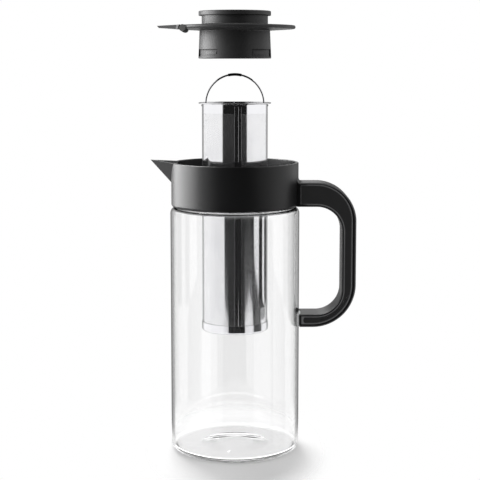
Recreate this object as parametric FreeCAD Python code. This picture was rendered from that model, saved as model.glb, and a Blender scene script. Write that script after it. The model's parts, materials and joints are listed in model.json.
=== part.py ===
import FreeCAD, Part
import math
import os

# Cold brew coffee maker: a glass carafe with a moulded collar, spout and handle, a steel filter basket
# on a wire bail, and a lid with a hinged spout flap. Millimetres, +Z up, +X towards the handle, spout
# towards -X. The origin is the centre of the carafe's base, on the table.
# The basket and the lid are drawn lifted out: basket_raised and lid_raised say how far.

V = FreeCAD.Vector
UP = V(0, 0, 1)
os.makedirs("parts", exist_ok=True)

# ---------------------------------------------------------------- driving dimensions
# carafe
carafe_radius = 48.0
carafe_height = 197.2
glass_wall = 2.0
base_thickness = 3.6
base_edge_radius = 6.0
base_inner_radius = 4.1
shoulder_radius = 4.7
neck_step = 5.5
neck_length = 14.3
neck_root_radius = 1.5
lip_bead = 1.1
lip_height = 2.3
lip_low_radius = 0.35
lip_inner_radius = 0.65

# collar and spout
collar_wall = 2.4
collar_bottom_radius = 2.1
collar_rim_radius = 0.6
neck_space = 2.3
ledge_thickness = 1.6
ledge_overhang = 1.6
ledge_edge_radius = 0.4
pour_chamber_depth = 15.9
spout_reach = 15.3
spout_half_width = 15.2
spout_depth = 17.0
spout_rise = 1.9
spout_wall = 1.8
spout_keel_radius = 3.0
spout_cut_lift = 0.3

# seals and rings round the neck
lip_gasket_thickness = 1.0
neck_gasket_length = 8.0
neck_gasket_rib = 0.7
neck_gasket_rib_count = 3
clamp_ring_height = 2.0
clamp_ring_groove = 0.9
clamp_ring_split = 8.0

# seat ring that carries the basket
seat_web_thickness = 1.8
seat_depth = 9.1
seat_ledge_thickness = 1.8
seat_tube_wall = 1.6
seat_tube_stand = 1.6
seat_slot_count = 6
seat_spoke_width = 5.0
seat_slot_margin = 1.5
seat_edge_radius = 0.5
seat_mouth_radius = 0.4

# filter basket
basket_radius = 24.25
basket_length = 169.5
basket_sheet = 0.4
flange_width = 2.5
flange_thickness = 0.8
rim_band_height = 7.6
flange_notch_width = 3.2
flange_notch_depth = 1.6
flange_hole_radius = 0.55
flange_hole_spacing = 8.0
flange_edge_radius = 0.3
flange_root_radius = 0.4
rim_mouth_radius = 0.6
seam_width = 4.9
seam_angle = 5.5
seam_thickness = 0.2
seam_top_drop = 2.5
cup_height = 6.8
cup_sheet = 0.5
cup_corner_radius = 1.6

# bail
bail_wire_radius = 0.65
bail_side_gap = 2.35
bail_leg = 1.2
bail_bend_radius = 1.1
bail_pivot_depth = 2.2
bail_end_stand = 0.35
bail_grip_radius = 1.0
bail_grip_length = 9.8

# lid
lid_crown = 1.0
brim_thickness = 4.6
brim_edge_thickness = 2.4
brim_edge_radius = 1.1
skirt_wall = 1.75
skirt_taper = 0.9
skirt_edge_radius = 0.6
skirt_inner_edge_radius = 0.4
skirt_root_radius = 0.5
lid_neck_height = 6.2
lid_neck_step = 2.5
lid_neck_wall = 2.6
lid_neck_root_radius = 0.6
cap_thickness = 3.3
cap_plug_depth = 2.4
cap_edge_radius = 0.7
cap_low_edge_radius = 0.35
cap_inset = 0.25
track_height = 5.3
track_bottom = 1.4
track_recess = 0.45
track_slot_depth = 1.1
track_slot_start = 7.0
track_slot_end = 22.0
track_end = 62.0
track_rib_inset = 1.5
track_rib_start = 38.0
track_rib_end = 60.0
track_rib_stand = 0.3

# spout flap
flap_hinge_inset = 7.0
flap_barrel_radius = 2.5
flap_barrel_half = 9.0
flap_root_thickness = 3.0
flap_tip_thickness = 1.1
flap_tip_drop = 0.3
hinge_pin_radius = 0.9
hinge_knuckle_length = 3.2
hinge_cut_back = 0.5

# handle
handle_drop = 14.2
handle_height = 107.9
handle_reach = 42.4
handle_width = 24.0
grip_depth = 10.6
top_arm_height = 17.9
low_arm_height = 9.7
handle_outer_radius_top = 29.0
handle_outer_radius_low = 32.0
handle_inner_radius = 18.5
handle_edge_radius = 1.5
handle_inner_edge_radius = 0.9
handle_flare = 3.0
inlay_border_inner = 1.9
inlay_border_outer = 3.4
inlay_border_top = 1.9
inlay_border_low = 2.9
inlay_root_border = 1.1
inlay_end_border = 2.0
inlay_end_radius = 2.2
inlay_recess = 0.8
inlay_thickness = 0.5
foot_pad_thickness = 1.05
foot_pad_width = 17.0
foot_pad_border = 0.5
screw_radius = 1.5
screw_head_radius = 2.6
screw_head_height = 1.3
screw_length = 9.0
screw_spacing = 13.0
screw_height = 5.2

# clearances
fixed_gap = 0.05
seal_gap = 0.1
slide_gap = 0.3
lid_gap = 0.3
brim_gap = 0.4
flap_gap = 0.35
flap_swing_gap = 0.65
pin_gap = 0.05
sleeve_gap = 0.02

# how far cutting shapes reach past the faces they cut, and the tolerance for picking edges
past = 1.0
near = 1e-3

# how far the loose pieces are drawn lifted out of the closed jug
basket_raised = 68.3
lid_raised = 31.8

# ---------------------------------------------------------------- derived sizes
glass_inside = carafe_radius - glass_wall
shoulder_z = carafe_height - neck_length
neck_radius = carafe_radius - neck_step
neck_bore = neck_radius - glass_wall
lip_radius = neck_radius + lip_bead
lip_low_z = carafe_height - lip_height

collar_inside = neck_radius + neck_space
collar_radius = collar_inside + collar_wall
collar_low_z = shoulder_z + seal_gap
ledge_low_z = carafe_height + lip_gasket_thickness
ledge_top_z = ledge_low_z + ledge_thickness
collar_top_z = ledge_top_z + pour_chamber_depth
ledge_bore = lip_radius - ledge_overhang
clamp_top_z = lip_low_z
clamp_low_z = clamp_top_z - clamp_ring_height

tube_bore = basket_radius - basket_sheet
flange_radius = basket_radius + flange_width
seat_z = ledge_top_z - seat_depth
seat_tube_bore = flange_radius + slide_gap
seat_tube_radius = seat_tube_bore + seat_tube_wall
seat_bore = basket_radius + cup_sheet + 2 * slide_gap

flange_top_z = seat_z + flange_thickness
cup_outside = basket_radius + sleeve_gap + cup_sheet
basket_low_z = flange_top_z - basket_length

skirt_low_z = flange_top_z + lid_gap
skirt_low_radius = flange_radius - sleeve_gap
skirt_top_radius = skirt_low_radius - skirt_taper
brim_radius = collar_inside - brim_gap
brim_top_z = collar_top_z + lid_crown
brim_low_z = brim_top_z - brim_thickness
brim_edge_low_z = collar_top_z - brim_edge_thickness
lid_neck_radius = flange_radius - lid_neck_step
lid_neck_bore = lid_neck_radius - lid_neck_wall
lid_neck_top_z = brim_top_z + lid_neck_height

hinge_x = -(brim_radius - flap_hinge_inset)
brim_slope = lid_crown / (brim_radius - lid_neck_radius)
hinge_top_z = brim_top_z - brim_slope * (-hinge_x - lid_neck_radius)
hinge_z = hinge_top_z - flap_barrel_radius

handle_top_z = collar_top_z - handle_drop
handle_low_z = handle_top_z - handle_height
handle_out_x = collar_radius + handle_reach
handle_in_x = handle_out_x - grip_depth
handle_root_x = collar_inside
handle_end_radius = carafe_radius + seal_gap + foot_pad_thickness

bail_half_span = tube_bore - bail_side_gap
bail_pivot_z = flange_top_z - bail_pivot_depth


# ---------------------------------------------------------------- helpers
def rounded_wire(corners):
    """Closed wire in the XZ plane through corners (x, z, radius); a radius rounds its corner with a
    tangent arc, no longer than the sides beside it allow."""
    count = len(corners)
    points = [V(c[0], 0, c[1]) for c in corners]
    radii = [c[2] if len(c) > 2 else 0.0 for c in corners]
    starts = []
    arcs = []
    for i in range(count):
        here = points[i]
        back = points[i - 1] - here
        ahead = points[(i + 1) % count] - here
        if radii[i] <= 0:
            starts.append((here, here))
            arcs.append(None)
            continue
        half = back.getAngle(ahead) / 2
        room_back = back.Length * (0.499 if radii[i - 1] > 0 else 0.999)
        room_ahead = ahead.Length * (0.499 if radii[(i + 1) % count] > 0 else 0.999)
        run = min(radii[i] / math.tan(half), room_back, room_ahead)
        radius = run * math.tan(half)
        back.normalize()
        ahead.normalize()
        middle = back + ahead
        middle.normalize()
        centre = here + middle * (radius / math.sin(half))
        first = here + back * run
        last = here + ahead * run
        starts.append((first, last))
        arcs.append(Part.Arc(first, centre - middle * radius, last).toShape())
    edges = []
    for i in range(count):
        if arcs[i]:
            edges.append(arcs[i])
        leave = starts[i][1]
        arrive = starts[(i + 1) % count][0]
        if leave.distanceToPoint(arrive) > 1e-6:
            edges.append(Part.makeLine(leave, arrive))
    return Part.Wire(edges)


def turned(corners):
    """Solid of revolution about Z of a closed profile of corners (radius, height, rounding)."""
    return Part.Face(rounded_wire(corners)).revolve(V(0, 0, 0), UP, 360)


def ring(outside, inside, low, high):
    """Plain ring about Z."""
    return turned([(inside, low), (outside, low), (outside, high), (inside, high)])


def disc(radius, low, high):
    """Plain cylinder about Z."""
    return Part.makeCylinder(radius, high - low, V(0, 0, low), UP)


def slab(corners, half_width):
    """Prism of a closed XZ profile, symmetric about Y = 0."""
    face = Part.Face(rounded_wire(corners))
    face.translate(V(0, -half_width, 0))
    return face.extrude(V(0, 2 * half_width, 0))


def bar_y(radius, low_y, high_y, x, z):
    """Cylinder along Y."""
    return Part.makeCylinder(radius, high_y - low_y, V(x, low_y, z), V(0, 1, 0))


def box(low, high):
    """Box between two corners."""
    return Part.makeBox(high[0] - low[0], high[1] - low[1], high[2] - low[2], V(*low))


def sector(outside, inside, low, high, from_angle, to_angle):
    """Part of a ring about Z between two plan angles, in degrees from +X."""
    face = Part.Face(rounded_wire([(inside, low), (outside, low), (outside, high), (inside, high)]))
    piece = face.revolve(V(0, 0, 0), UP, to_angle - from_angle)
    piece.rotate(V(0, 0, 0), UP, from_angle)
    return piece


def fuse_all(shapes):
    """One shape of several, with the seams between them removed."""
    result = shapes[0]
    for shape in shapes[1:]:
        result = result.fuse(shape)
    return result.removeSplitter()


# ---------------------------------------------------------------- carafe and its neck
def glass_carafe():
    """Blown glass body: rounded foot, straight side, shoulder, neck and beaded lip."""
    return turned([
        (0, 0),
        (carafe_radius, 0, base_edge_radius),
        (carafe_radius, shoulder_z, shoulder_radius),
        (neck_radius, shoulder_z, neck_root_radius),
        (neck_radius, lip_low_z),
        (lip_radius, lip_low_z, lip_low_radius),
        (lip_radius, carafe_height, lip_bead),
        (neck_bore, carafe_height, lip_inner_radius),
        (neck_bore, shoulder_z - glass_wall, neck_root_radius + glass_wall),
        (glass_inside, shoulder_z - glass_wall, shoulder_radius - glass_wall),
        (glass_inside, base_thickness, base_inner_radius),
        (0, base_thickness),
    ])


def neck_gasket():
    """Silicone sleeve between the neck and the collar, with ribs that the collar presses."""
    inside = neck_radius + seal_gap
    ribs = collar_inside - seal_gap
    low = shoulder_z + neck_root_radius + seal_gap
    shapes = [ring(ribs - neck_gasket_rib, inside, low, low + neck_gasket_length)]
    rib_height = neck_gasket_length / (2 * neck_gasket_rib_count + 1)
    for i in range(neck_gasket_rib_count):
        rib_low = low + rib_height * (1 + 2 * i)
        shapes.append(ring(ribs, inside, rib_low, rib_low + rib_height))
    return fuse_all(shapes)


def lip_gasket():
    """Flat silicone washer between the glass lip and the collar's ledge."""
    return ring(lip_radius, neck_bore + seal_gap, carafe_height, ledge_low_z)


def neck_clamp_ring():
    """Split ring that sits in the collar's groove and hooks under the glass lip."""
    outside = collar_inside + clamp_ring_groove - seal_gap
    body = ring(outside, neck_radius + seal_gap, clamp_low_z, clamp_top_z)
    half = clamp_ring_split / 2
    return body.cut(box((-half, 0, clamp_low_z - past), (half, collar_radius, clamp_top_z + past)))


# ---------------------------------------------------------------- collar and spout
def spout_cone(shift, lift):
    """Beak of the spout as a cone: a rounded V section well inside the collar, drawn to the tip.
    shift moves it towards the axis and lift carries its open side above the rim."""
    tip = V(-(collar_radius + spout_reach), 0, collar_top_z + spout_rise)
    root_x = -math.sqrt(collar_radius ** 2 - spout_half_width ** 2)
    rim = V(root_x, spout_half_width, collar_top_z) - tip
    keel = V(-collar_radius, 0, collar_top_z - spout_depth) - tip
    section_x = -collar_inside / 2 - tip.x
    rim = rim * (section_x / rim.x)
    keel = keel * (section_x / keel.x)
    side = rim - keel
    rim = keel + side * (1 + lift)
    half = math.atan2(side.y, side.z)
    radius = spout_keel_radius * section_x / spout_reach
    run = radius / math.tan(half)
    side.normalize()
    near = keel + side * run
    low = V(section_x, 0, keel.z + radius / math.sin(half) - radius)
    ends = [tip + p for p in (rim, near, low)]
    mirrored = [V(p.x, -p.y, p.z) for p in ends]
    wire = Part.Wire([
        Part.makeLine(mirrored[0], ends[0]),
        Part.makeLine(ends[0], ends[1]),
        Part.Arc(ends[1], ends[2], mirrored[1]).toShape(),
        Part.makeLine(mirrored[1], mirrored[0]),
    ])
    cone = Part.makeLoft([wire, Part.Vertex(tip)], True)
    slope = rim_slope()
    cone.translate(V(shift, 0, -shift * slope))
    return cone


def rim_slope():
    """Rise of the spout's rim per millimetre towards the tip."""
    root_x = math.sqrt(collar_radius ** 2 - spout_half_width ** 2)
    return spout_rise / (collar_radius + spout_reach - root_x)


def spout_shift(distance):
    """How far the cone moves along the rim so that its sides move inwards by a distance."""
    root_x = math.sqrt(collar_radius ** 2 - spout_half_width ** 2)
    to_rim = V(collar_radius + spout_reach - root_x, spout_half_width, -spout_rise)
    to_keel = V(spout_reach, 0, -(spout_depth + spout_rise))
    normal = to_rim.cross(to_keel)
    normal.normalize()
    along = V(1, 0, -rim_slope())
    return distance / abs(normal.dot(along))


def collar_shell():
    """Moulded collar: wall, ledge over the glass lip, groove for the clamp ring, spout and screw holes."""
    groove = collar_inside + clamp_ring_groove
    wall = turned([
        (collar_inside, collar_low_z),
        (collar_radius, collar_low_z, collar_bottom_radius),
        (collar_radius, collar_top_z, collar_rim_radius),
        (collar_inside, collar_top_z, collar_rim_radius),
        (collar_inside, ledge_top_z),
        (ledge_bore, ledge_top_z, ledge_edge_radius),
        (ledge_bore, ledge_low_z, ledge_edge_radius),
        (collar_inside, ledge_low_z),
        (collar_inside, clamp_top_z + seal_gap),
        (groove, clamp_top_z + seal_gap),
        (groove, clamp_low_z - seal_gap),
        (collar_inside, clamp_low_z - seal_gap),
    ])
    bore = disc(collar_inside + collar_wall / 2, 0, 2 * collar_top_z)
    beak = spout_cone(0, 0).cut(bore)
    shell = wall.fuse(beak)
    channel = spout_cone(spout_shift(spout_wall), spout_cut_lift)
    above_ledge = box((-2 * carafe_radius, -carafe_radius, ledge_top_z + seat_web_thickness),
                      (0, carafe_radius, 2 * collar_top_z))
    shell = shell.cut(channel.common(above_ledge))
    for screw in screw_bodies(fixed_gap):
        shell = shell.cut(screw)
    return shell


def filter_seat_ring():
    """Inner ring: a cup that carries the basket's flange, hung from a web with pour slots."""
    web_top_z = ledge_top_z + seat_web_thickness
    body = turned([
        (seat_bore, seat_z - seat_ledge_thickness),
        (seat_tube_radius, seat_z - seat_ledge_thickness, seat_edge_radius),
        (seat_tube_radius, ledge_top_z),
        (collar_inside - seal_gap, ledge_top_z),
        (collar_inside - seal_gap, web_top_z),
        (seat_tube_radius, web_top_z),
        (seat_tube_radius, web_top_z + seat_tube_stand, seat_edge_radius),
        (seat_tube_bore, web_top_z + seat_tube_stand, seat_edge_radius),
        (seat_tube_bore, seat_z),
        (seat_bore, seat_z, seat_mouth_radius),
    ])
    slot_in = seat_tube_radius + seat_slot_margin
    slot_out = ledge_bore - seat_slot_margin / 2
    spoke = math.degrees(seat_spoke_width / slot_in)
    step = 360 / seat_slot_count
    for i in range(seat_slot_count):
        middle = 180 + i * step
        start = middle - (step - spoke) / 2
        stop = middle + (step - spoke) / 2
        body = body.cut(sector(slot_out, slot_in, ledge_top_z - past, web_top_z + past, start, stop))
    return body


# ---------------------------------------------------------------- handle
def handle_profile(top, outer, low, inner, root_x, end_x, end_radius):
    """Side view of the handle, moved inwards by the given borders, from root_x to end_x."""
    top_z = handle_top_z - top
    low_z = handle_low_z + low
    out_x = handle_out_x - outer
    in_x = handle_in_x + inner
    arm_z = handle_top_z - top_arm_height + inner
    foot_z = handle_low_z + low_arm_height - inner
    return [
        (root_x, top_z),
        (out_x, top_z, handle_outer_radius_top - (top + outer) / 2),
        (out_x, low_z, handle_outer_radius_low - (low + outer) / 2),
        (end_x, low_z, end_radius),
        (end_x, foot_z, end_radius),
        (in_x, foot_z, handle_inner_radius + inner),
        (in_x, arm_z, handle_inner_radius + inner),
        (root_x, arm_z),
    ]


def handle_inlay_profile(gap):
    """Outline of the side panel's recess, or of the panel itself with a gap."""
    return handle_profile(inlay_border_top + gap, inlay_border_outer + gap, inlay_border_low + gap,
                          inlay_border_inner + gap, collar_radius + inlay_root_border + gap,
                          handle_end_radius + inlay_end_border + gap, inlay_end_radius)


def side_edges(body, outside):
    """Long edges of the handle's two flat sides: those round its outside, or those round the finger gap."""
    half = handle_width / 2
    found = []
    for edge in body.Edges:
        bounds = edge.BoundBox
        if bounds.YLength > near or abs(abs(bounds.YMin) - half) > near:
            continue
        if bounds.XLength < near and bounds.XMin < handle_in_x - past:
            continue
        middle = edge.valueAt((edge.FirstParameter + edge.LastParameter) / 2)
        foot_z = handle_low_z + low_arm_height - near
        arm_z = handle_top_z - top_arm_height + near
        in_gap = foot_z < middle.z < arm_z and middle.x < handle_in_x + near
        if in_gap != outside:
            found.append(edge)
    return found


def handle_body():
    """D-shaped handle: saddle on the collar, two arms and a grip, with a recess in each side."""
    half = handle_width / 2
    body = slab(handle_profile(0, 0, 0, 0, handle_root_x, carafe_radius, 0), half)
    body = body.cut(disc(handle_end_radius, handle_low_z - past, collar_low_z - past))
    body = body.makeFillet(handle_edge_radius, side_edges(body, True))
    body = body.makeFillet(handle_inner_edge_radius, side_edges(body, False))
    root = disc(collar_radius + fixed_gap, handle_low_z, collar_top_z)
    seat = collar_radius + fixed_gap
    flare = turned([(seat - past, handle_top_z - past), (seat + handle_flare, handle_top_z - past),
                    (seat + handle_flare, handle_top_z), (seat, handle_top_z, handle_flare - fixed_gap),
                    (seat, handle_top_z + handle_flare), (seat - past, handle_top_z + handle_flare)])
    reach = half - handle_edge_radius / 2
    flare = flare.common(box((0, -reach, 0), (2 * carafe_radius, reach, 2 * collar_top_z)))
    body = body.fuse(flare).cut(root)
    panel = Part.Face(rounded_wire(handle_inlay_profile(0)))
    for side in (-1, 1):
        recess = panel.copy()
        recess.translate(V(0, side * (half - inlay_recess), 0))
        body = body.cut(recess.extrude(V(0, side * handle_width, 0)))
    for screw in screw_bodies(fixed_gap):
        body = body.cut(screw)
    return body


def handle_inlay(side):
    """Glossy panel that lies in the recess of one side of the handle."""
    panel = Part.Face(rounded_wire(handle_inlay_profile(fixed_gap)))
    panel.translate(V(0, side * (handle_width / 2 - inlay_recess), 0))
    return panel.extrude(V(0, side * inlay_thickness, 0))


def handle_foot_pad():
    """Silicone pad between the handle's lower end and the glass."""
    low = handle_low_z + foot_pad_border
    high = handle_low_z + low_arm_height - foot_pad_border
    shell = ring(handle_end_radius, carafe_radius + seal_gap, low, high)
    half = foot_pad_width / 2
    return shell.common(box((0, -half, low - past), (2 * carafe_radius, half, high + past)))


def screw_bodies(gap):
    """Countersunk screws through the collar wall into the handle's root, grown by a gap."""
    screws = []
    z = collar_low_z + screw_height
    for side in (-1, 1):
        y = side * screw_spacing / 2
        head_x = math.sqrt(collar_inside ** 2 - (abs(y) - screw_head_radius) ** 2) + seal_gap
        profile = rounded_wire([(0, -gap), (screw_head_radius + gap, -gap),
                                (screw_radius + gap, screw_head_height + gap),
                                (screw_radius + gap, screw_length + gap), (0, screw_length + gap)])
        screw = Part.Face(profile).revolve(V(0, 0, 0), UP, 360)
        screw.rotate(V(0, 0, 0), V(0, 1, 0), 90)
        screw.translate(V(head_x, y, z))
        screws.append(screw)
    return screws


def handle_screws():
    """Both screws, as one group of two solids."""
    return Part.makeCompound(screw_bodies(0))


# ---------------------------------------------------------------- filter basket and bail
def basket_rim():
    """Pressed rim: flat flange and band, with a notch, two small holes and the bail's pivot holes."""
    band_low = flange_top_z - rim_band_height
    rim = turned([
        (tube_bore, band_low),
        (basket_radius, band_low),
        (basket_radius, seat_z, flange_root_radius),
        (flange_radius, seat_z, flange_edge_radius),
        (flange_radius, flange_top_z, flange_edge_radius),
        (tube_bore, flange_top_z, rim_mouth_radius),
    ])
    half = flange_notch_width / 2
    notch = Part.Face(Part.makePolygon([V(-half, flange_radius + past, 0), V(half, flange_radius + past, 0),
                                        V(0, flange_radius - flange_notch_depth, 0),
                                        V(-half, flange_radius + past, 0)]))
    notch.translate(V(0, 0, seat_z - past))
    rim = rim.cut(notch.extrude(V(0, 0, flange_thickness + 2 * past)))
    hole_y = -math.sqrt((basket_radius + flange_width / 2) ** 2 - (flange_hole_spacing / 2) ** 2)
    for side in (-1, 1):
        centre = V(side * flange_hole_spacing / 2, hole_y, seat_z - past)
        rim = rim.cut(Part.makeCylinder(flange_hole_radius, flange_thickness + 2 * past, centre, UP))
    pivots = Part.makeCylinder(bail_wire_radius + pin_gap, 4 * basket_radius,
                               V(-2 * basket_radius, 0, bail_pivot_z), V(1, 0, 0))
    return rim.cut(pivots)


def filter_tube():
    """Rolled sheet of fine etched mesh, below the rim's band and down into the cup."""
    low = basket_low_z + cup_corner_radius
    return ring(basket_radius, tube_bore, low, flange_top_z - rim_band_height)


def filter_seam_strip():
    """Welded strip over the joint of the rolled sheet."""
    half = math.degrees(seam_width / 2 / basket_radius)
    middle = 270 + seam_angle
    inside = basket_radius + sleeve_gap
    return sector(inside + seam_thickness, inside, basket_low_z + cup_height + sleeve_gap,
                  flange_top_z - seam_top_drop, middle - half, middle + half)


def basket_bottom_cup():
    """Plain pressed cup that closes the tube's lower end."""
    inside = basket_radius + sleeve_gap
    return turned([
        (0, basket_low_z),
        (cup_outside, basket_low_z, cup_corner_radius),
        (cup_outside, basket_low_z + cup_height),
        (inside, basket_low_z + cup_height),
        (inside, basket_low_z + cup_sheet, cup_corner_radius - cup_sheet),
        (0, basket_low_z + cup_sheet),
    ])


def bail_line():
    """Centre line of the bail: end, bend, leg, half circle, leg, bend, end."""
    span = bail_half_span
    end = basket_radius + bail_end_stand
    bend = bail_bend_radius
    z = bail_pivot_z
    arch_z = z + bail_leg
    turn = bend * (1 - math.sqrt(0.5))
    return Part.Wire([
        Part.makeLine(V(-end, 0, z), V(-span - bend, 0, z)),
        Part.Arc(V(-span - bend, 0, z), V(-span - turn, 0, z + turn), V(-span, 0, z + bend)).toShape(),
        Part.makeLine(V(-span, 0, z + bend), V(-span, 0, arch_z)),
        Part.Arc(V(-span, 0, arch_z), V(0, 0, arch_z + span), V(span, 0, arch_z)).toShape(),
        Part.makeLine(V(span, 0, arch_z), V(span, 0, z + bend)),
        Part.Arc(V(span, 0, z + bend), V(span + turn, 0, z + turn), V(span + bend, 0, z)).toShape(),
        Part.makeLine(V(span + bend, 0, z), V(end, 0, z)),
    ])


def bail_wire():
    """Round wire swept along the bail's line."""
    start = V(-basket_radius - bail_end_stand, 0, bail_pivot_z)
    section = Part.Wire(Part.makeCircle(bail_wire_radius, start, V(1, 0, 0)))
    return bail_line().makePipeShell([section], True, False)


def bail_grip():
    """Short sleeve crimped on the middle of the bail."""
    span = bail_half_span
    spread = math.degrees(bail_grip_length / span)
    pieces = []
    for radius in (bail_grip_radius, bail_wire_radius + sleeve_gap):
        section = Part.Face(Part.Wire(Part.makeCircle(radius, V(span, 0, 0), UP)))
        piece = section.revolve(V(0, 0, 0), V(0, 1, 0), spread)
        piece.rotate(V(0, 0, 0), V(0, 1, 0), -90 - spread / 2)
        pieces.append(piece)
    sleeve = pieces[0].cut(pieces[1])
    sleeve.translate(V(0, 0, bail_pivot_z + bail_leg))
    return sleeve


# ---------------------------------------------------------------- lid and spout flap
def lid_turned():
    """Lid body before its hinge is cut: skirt, lens-shaped brim and neck, open below and above."""
    skirt_bore = skirt_low_radius - skirt_wall
    upper_bore = skirt_top_radius - skirt_wall
    return turned([
        (skirt_bore, skirt_low_z, skirt_inner_edge_radius),
        (skirt_low_radius, skirt_low_z, skirt_edge_radius),
        (skirt_top_radius, brim_low_z, skirt_root_radius),
        (brim_radius, brim_edge_low_z, brim_edge_radius),
        (brim_radius, collar_top_z, brim_edge_radius),
        (lid_neck_radius, brim_top_z, lid_neck_root_radius),
        (lid_neck_radius, lid_neck_top_z),
        (lid_neck_bore, lid_neck_top_z),
        (lid_neck_bore, brim_low_z),
        (upper_bore, brim_low_z - (upper_bore - lid_neck_bore)),
    ])


def skirt_track(mirror_x, mirror_y):
    """Shallow track and entry slot on one quarter of the skirt's lower band."""
    low = skirt_low_z + track_bottom
    high = low + track_height
    out = skirt_low_radius + past
    lean = skirt_taper * (track_bottom + track_height / 2) / (brim_low_z - skirt_low_z)
    face = skirt_low_radius - lean
    track = sector(out, face - track_recess, low, high, track_slot_start, track_end)
    rib_low = low + track_rib_inset
    rib = sector(face - track_recess + track_rib_stand, face - 2 * track_recess, rib_low,
                 high - track_rib_inset, track_rib_start, track_rib_end)
    slot = sector(out, face - track_slot_depth, low, high, track_slot_start, track_slot_end)
    piece = track.cut(rib).fuse(slot)
    if mirror_x:
        piece = piece.mirror(V(0, 0, 0), V(1, 0, 0))
    if mirror_y:
        piece = piece.mirror(V(0, 0, 0), V(0, 1, 0))
    return piece


def lid_body():
    """Lid body with its tracks and the fixed knuckles of the flap's hinge."""
    body = lid_turned()
    for mirror_x in (False, True):
        for mirror_y in (False, True):
            body = body.cut(skirt_track(mirror_x, mirror_y))
    far = 2 * carafe_radius
    fixed_y = flap_barrel_half + flap_gap
    body = body.cut(box((-far, -far, 0), (hinge_x, far, 2 * collar_top_z)))
    knuckles = bar_y(flap_barrel_radius, -brim_radius, brim_radius, hinge_x, hinge_z)
    body = body.fuse(knuckles.common(disc(brim_radius, 0, 2 * collar_top_z)))
    room = flap_barrel_radius + flap_swing_gap
    body = body.cut(bar_y(room, -fixed_y, fixed_y, hinge_x, hinge_z))
    end = fixed_y + hinge_knuckle_length
    body = body.cut(bar_y(hinge_pin_radius + sleeve_gap, -end, end, hinge_x, hinge_z))
    return body


def lid_cap():
    """Top disc that closes the lid's neck and is gripped to lift it."""
    plug = lid_neck_bore - fixed_gap
    return turned([
        (0, lid_neck_top_z - cap_plug_depth),
        (plug, lid_neck_top_z - cap_plug_depth, cap_low_edge_radius),
        (plug, lid_neck_top_z),
        (flange_radius - cap_inset, lid_neck_top_z, cap_low_edge_radius),
        (flange_radius - cap_inset, lid_neck_top_z + cap_thickness, cap_edge_radius),
        (0, lid_neck_top_z + cap_thickness),
    ])


def spout_flap():
    """Flap that closes the spout: a thin plate in the spout's channel, on a barrel round the pin."""
    tip_x = -(collar_radius + spout_reach)
    tip_top = collar_top_z - flap_tip_drop
    plate = slab([
        (hinge_x, hinge_top_z),
        (tip_x, tip_top),
        (tip_x, tip_top - flap_tip_thickness),
        (hinge_x, hinge_top_z - flap_root_thickness),
    ], brim_radius)
    channel = spout_cone(spout_shift(spout_wall + flap_gap), spout_cut_lift)
    in_collar = plate.common(disc(brim_radius, 0, 2 * collar_top_z))
    in_spout = plate.common(channel)
    plate = fuse_all([in_collar, in_spout])
    fixed_y = flap_barrel_half + flap_gap
    room = flap_barrel_radius + flap_swing_gap
    for side in (-1, 1):
        low_y = min(side * flap_barrel_half, side * brim_radius)
        high_y = max(side * flap_barrel_half, side * brim_radius)
        plate = plate.cut(bar_y(room, low_y, high_y, hinge_x, hinge_z))
        plate = plate.cut(box((hinge_x - hinge_cut_back, low_y, 0), (0, high_y, 2 * collar_top_z)))
    barrel = bar_y(flap_barrel_radius, -flap_barrel_half, flap_barrel_half, hinge_x, hinge_z)
    flap = fuse_all([plate, barrel])
    return flap.cut(bar_y(hinge_pin_radius + pin_gap, -fixed_y, fixed_y, hinge_x, hinge_z))


def flap_hinge_pin():
    """Steel pin through the flap's barrel, held in the lid's two knuckles."""
    end = flap_barrel_half + flap_gap + hinge_knuckle_length - fixed_gap
    return bar_y(hinge_pin_radius, -end, end, hinge_x, hinge_z)


# ---------------------------------------------------------------- bodies and export
jug = {
    "glass_carafe": glass_carafe(),
    "neck_gasket": neck_gasket(),
    "lip_gasket": lip_gasket(),
    "neck_clamp_ring": neck_clamp_ring(),
    "collar_shell": collar_shell(),
    "filter_seat_ring": filter_seat_ring(),
    "handle_body": handle_body(),
    "handle_inlay_left": handle_inlay(-1),
    "handle_inlay_right": handle_inlay(1),
    "handle_foot_pad": handle_foot_pad(),
    "handle_screws": handle_screws(),
}
basket = {
    "basket_rim": basket_rim(),
    "filter_tube": filter_tube(),
    "filter_seam_strip": filter_seam_strip(),
    "basket_bottom_cup": basket_bottom_cup(),
    "bail_wire": bail_wire(),
    "bail_grip": bail_grip(),
}
lid = {
    "lid_body": lid_body(),
    "lid_cap": lid_cap(),
    "spout_flap": spout_flap(),
    "flap_hinge_pin": flap_hinge_pin(),
}

for shape in basket.values():
    shape.translate(V(0, 0, basket_raised))
for shape in lid.values():
    shape.translate(V(0, 0, basket_raised + lid_raised))

for group in (jug, basket, lid):
    for node, shape in group.items():
        shape.exportStep("parts/" + node + ".step")
        bounds = shape.BoundBox
        print("%-20s solids %d valid %s volume %9.1f  x %7.2f %7.2f  y %7.2f %7.2f  z %7.2f %7.2f" % (
            node, len(shape.Solids), shape.isValid(), shape.Volume, bounds.XMin, bounds.XMax,
            bounds.YMin, bounds.YMax, bounds.ZMin, bounds.ZMax))
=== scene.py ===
import json
import math

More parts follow.
